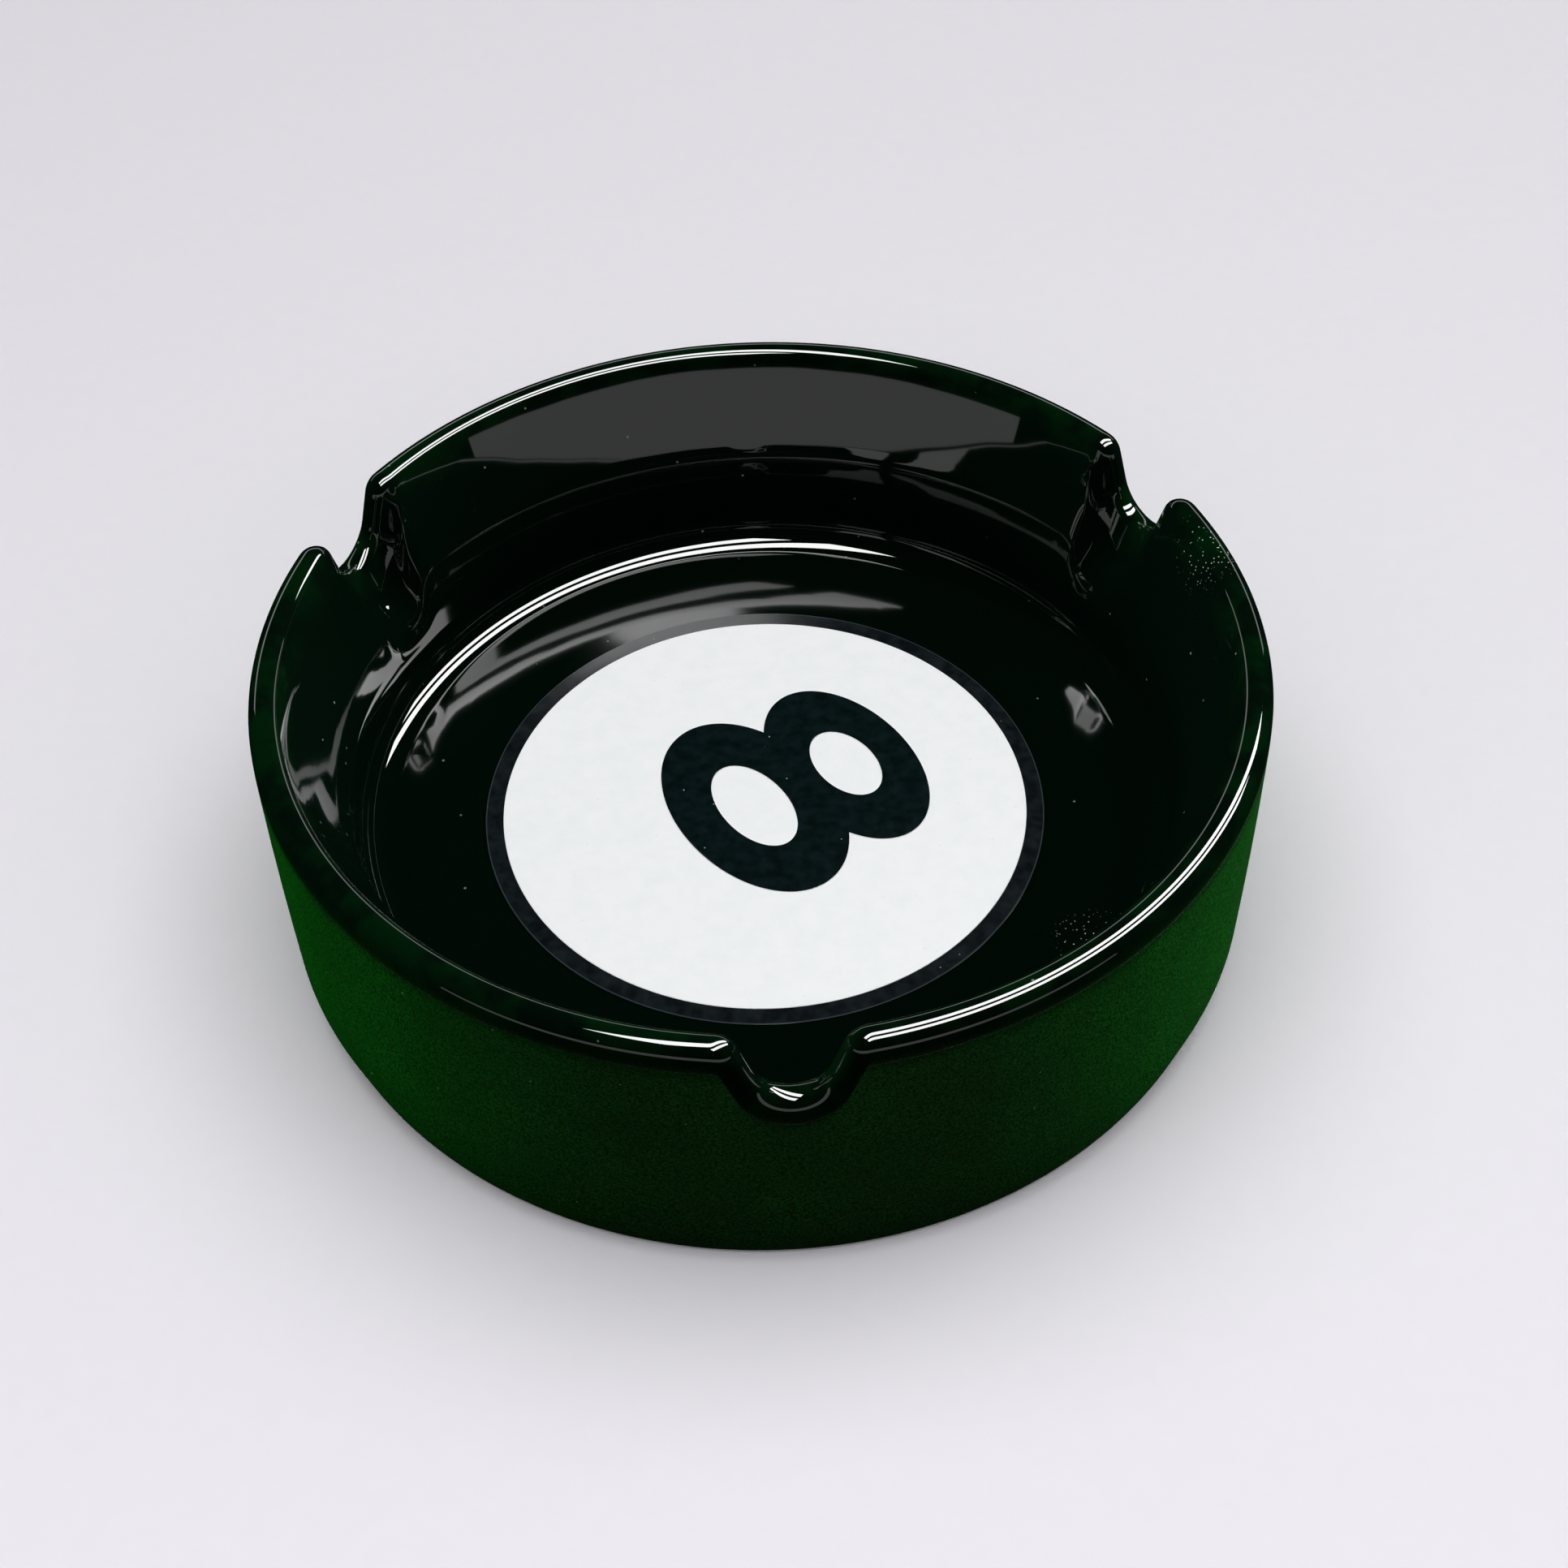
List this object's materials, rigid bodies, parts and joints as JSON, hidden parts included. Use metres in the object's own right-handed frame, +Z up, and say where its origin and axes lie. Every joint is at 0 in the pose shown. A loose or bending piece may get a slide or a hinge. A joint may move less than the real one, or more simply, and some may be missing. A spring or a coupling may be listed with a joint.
{
  "type": "glass ashtray",
  "caption": "Round pressed-glass ashtray with cigarette rests in its rim, a satin green coat outside and a pool-ball numeral printed on the floor.",
  "frame": {"origin": "centre of the foot, on the surface the ashtray stands on", "axes": "+Z up, the axis of the round bowl; one cigarette rest points towards -Y"},
  "size_m": [0.12, 0.12, 0.039],
  "materials": {
    "dark_glass": "fire-polished pressed glass, so dark a green that it looks black except at thin edges",
    "satin_green_coat": "fine satin lacquer sprayed on the outside of the glass, fading out below the rim",
    "black_ink": "smooth black printing ink",
    "white_ink": "opaque white printing ink with a faint mottle"
  },
  "bodies": {
    "root": {"glass_bowl": "dark_glass", "outer_coat": "satin_green_coat", "print_border": "black_ink", "print_white_disc": "white_ink", "print_numeral": "black_ink"}
  },
  "joints": []
}
